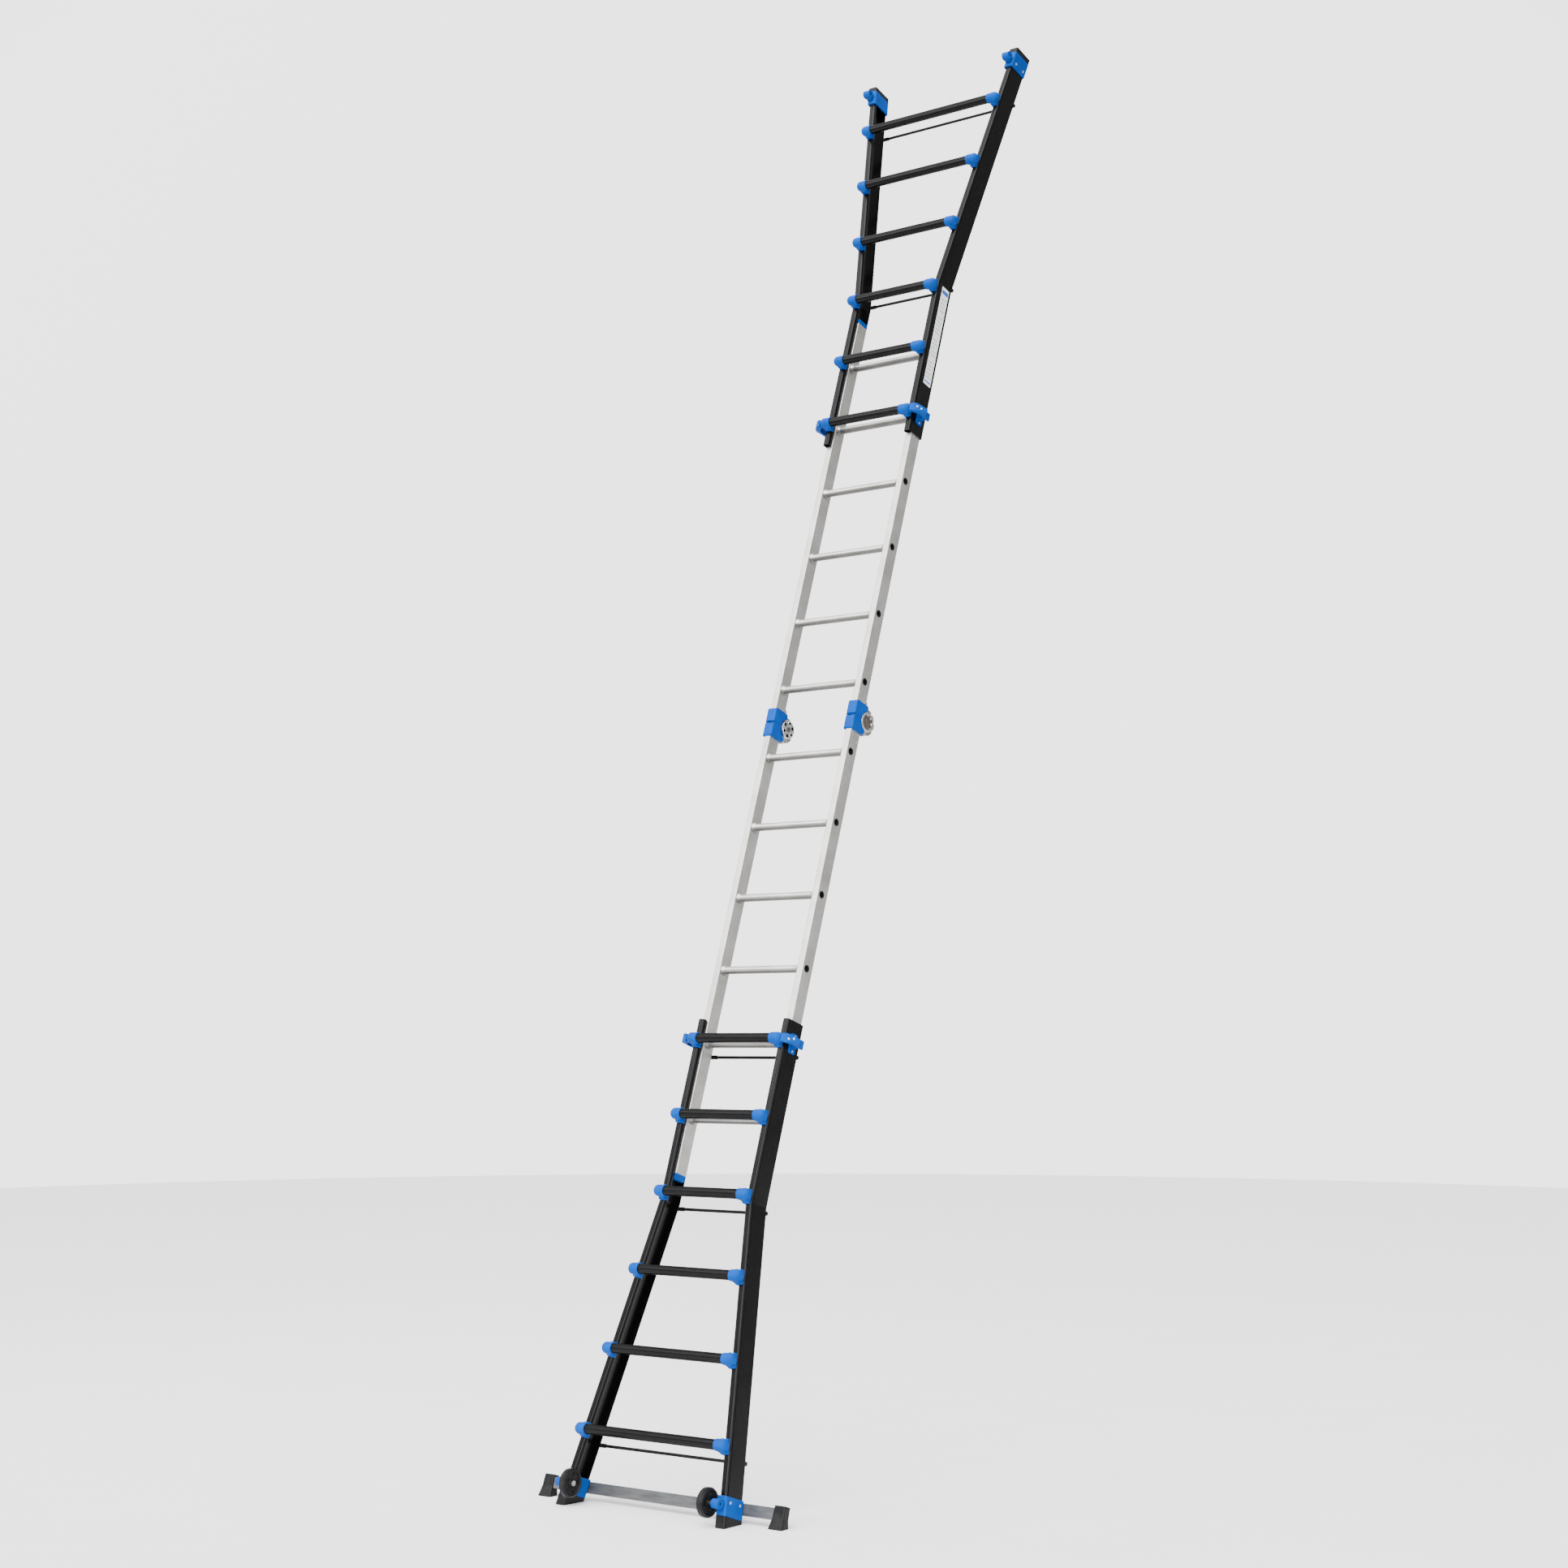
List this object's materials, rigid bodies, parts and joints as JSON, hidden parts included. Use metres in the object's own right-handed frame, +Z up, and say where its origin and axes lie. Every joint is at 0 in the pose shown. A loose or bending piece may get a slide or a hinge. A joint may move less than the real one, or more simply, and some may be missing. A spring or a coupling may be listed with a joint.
{
  "type": "hinged telescoping ladder",
  "caption": "Telescoping aluminium ladder with a lockable centre hinge, flared black outer sections, blue fittings, stabiliser bar and wheels.",
  "frame": {"origin": "on the floor, midway between the feet, on the line through the inner rungs' plane", "axes": "+Z up, +X to the ladder's right seen by its user, +Y towards the wall it leans on"},
  "size_m": [1.0764, 1.9705, 5.5226],
  "materials": {
    "black_coat": "satin black powder coat",
    "black_steel": "satin black paint",
    "mill_aluminium": "mill finish, lightly drawn",
    "cast_aluminium": "die cast",
    "blue_plastic": "satin moulded",
    "black_rubber": "matt",
    "zinc_steel": "zinc plated",
    "dark_bar": "dark grey satin paint",
    "label_film": "satin film"
  },
  "bodies": {
    "lower_outer": {"lower_outer_stile_left": "black_coat", "lower_outer_stile_right": "black_coat", "lower_outer_rungs": "black_coat", "lower_rung_sockets": "blue_plastic", "lower_tie_rods": "black_steel", "lower_lock_housings": "blue_plastic", "lower_lock_screws": "zinc_steel", "lower_end_collar_left": "blue_plastic", "lower_end_collar_right": "blue_plastic", "foot_left": "black_rubber", "foot_right": "black_rubber", "stabiliser_bar": "dark_bar", "stabiliser_bolts": "zinc_steel", "wheel_axles": "zinc_steel", "stabiliser_boot_left": "black_rubber", "stabiliser_boot_right": "black_rubber"},
    "lower_inner": {"lower_inner_stile_left": "mill_aluminium", "lower_inner_stile_right": "mill_aluminium", "lower_inner_rungs": "mill_aluminium", "lower_stile_plugs": "blue_plastic", "lower_hinge_cover_left": "blue_plastic", "lower_hinge_cover_right": "blue_plastic", "hinge_fork_left": "cast_aluminium", "hinge_fork_right": "cast_aluminium", "hinge_rings": "zinc_steel", "hinge_pins": "zinc_steel"},
    "upper_inner": {"upper_inner_stile_left": "mill_aluminium", "upper_inner_stile_right": "mill_aluminium", "upper_inner_rungs": "mill_aluminium", "upper_stile_plugs": "blue_plastic", "upper_hinge_cover_left": "blue_plastic", "upper_hinge_cover_right": "blue_plastic", "hinge_tongue_left": "cast_aluminium", "hinge_tongue_right": "cast_aluminium", "release_brackets": "zinc_steel"},
    "upper_outer": {"upper_outer_stile_left": "black_coat", "upper_outer_stile_right": "black_coat", "upper_outer_rungs": "black_coat", "upper_rung_sockets": "blue_plastic", "upper_tie_rods": "black_steel", "upper_lock_housings": "blue_plastic", "upper_lock_screws": "zinc_steel", "upper_end_collar_left": "blue_plastic", "upper_end_collar_right": "blue_plastic", "top_pad_left": "black_rubber", "top_pad_right": "black_rubber", "label": "label_film"},
    "wheel_left": {"wheel_left": "black_rubber"},
    "wheel_right": {"wheel_right": "black_rubber"},
    "hinge_release_left": {"hinge_release_left": "blue_plastic"},
    "hinge_release_right": {"hinge_release_right": "blue_plastic"},
    "lower_lock_left": {"lower_lock_lever_left": "blue_plastic", "lower_lock_pin_left": "zinc_steel"},
    "lower_lock_right": {"lower_lock_lever_right": "blue_plastic", "lower_lock_pin_right": "zinc_steel"},
    "upper_lock_left": {"upper_lock_lever_left": "blue_plastic", "upper_lock_pin_left": "zinc_steel"},
    "upper_lock_right": {"upper_lock_lever_right": "blue_plastic", "upper_lock_pin_right": "zinc_steel"}
  },
  "joints": [
    {"name": "lower_extension", "type": "slide", "parent": "lower_outer", "child": "lower_inner", "axis": [0, 0.315, 0.9491], "range_m": [-1.12, 0]},
    {"name": "hinge_fold", "type": "hinge", "parent": "lower_inner", "child": "upper_inner", "pos_m": [0, 0.96534, 2.73727], "axis": [-1, 0, 0], "range_deg": [0, 180]},
    {"name": "upper_extension", "type": "slide", "parent": "upper_inner", "child": "upper_outer", "axis": [0, 0.315, 0.9491], "range_m": [-1.12, 0]},
    {"name": "wheel_spin_left", "type": "hinge", "parent": "lower_outer", "child": "wheel_left", "pos_m": [-0.30275, -0.05544, 0.0774], "axis": [1, 0, 0], "continuous": true},
    {"name": "hinge_release_press_left", "type": "hinge", "parent": "upper_inner", "child": "hinge_release_left", "pos_m": [-0.189, 0.97695, 2.80717], "axis": [1, 0, 0], "range_deg": [0, 20], "stiffness_Nm_per_rad": 0.4},
    {"name": "lower_lock_pull_left", "type": "slide", "parent": "lower_outer", "child": "lower_lock_left", "axis": [-1, 0, 0], "range_m": [0, 0.008], "stiffness_N_per_m": 900},
    {"name": "upper_lock_pull_left", "type": "slide", "parent": "upper_outer", "child": "upper_lock_left", "axis": [-1, 0, 0], "range_m": [0, 0.008], "stiffness_N_per_m": 900},
    {"name": "wheel_spin_right", "type": "hinge", "parent": "lower_outer", "child": "wheel_right", "pos_m": [0.30275, -0.05544, 0.0774], "axis": [1, 0, 0], "continuous": true},
    {"name": "hinge_release_press_right", "type": "hinge", "parent": "upper_inner", "child": "hinge_release_right", "pos_m": [0.189, 0.97695, 2.80717], "axis": [1, 0, 0], "range_deg": [0, 20], "stiffness_Nm_per_rad": 0.4},
    {"name": "lower_lock_pull_right", "type": "slide", "parent": "lower_outer", "child": "lower_lock_right", "axis": [1, 0, 0], "range_m": [0, 0.008], "stiffness_N_per_m": 900},
    {"name": "upper_lock_pull_right", "type": "slide", "parent": "upper_outer", "child": "upper_lock_right", "axis": [1, 0, 0], "range_m": [0, 0.008], "stiffness_N_per_m": 900}
  ]
}
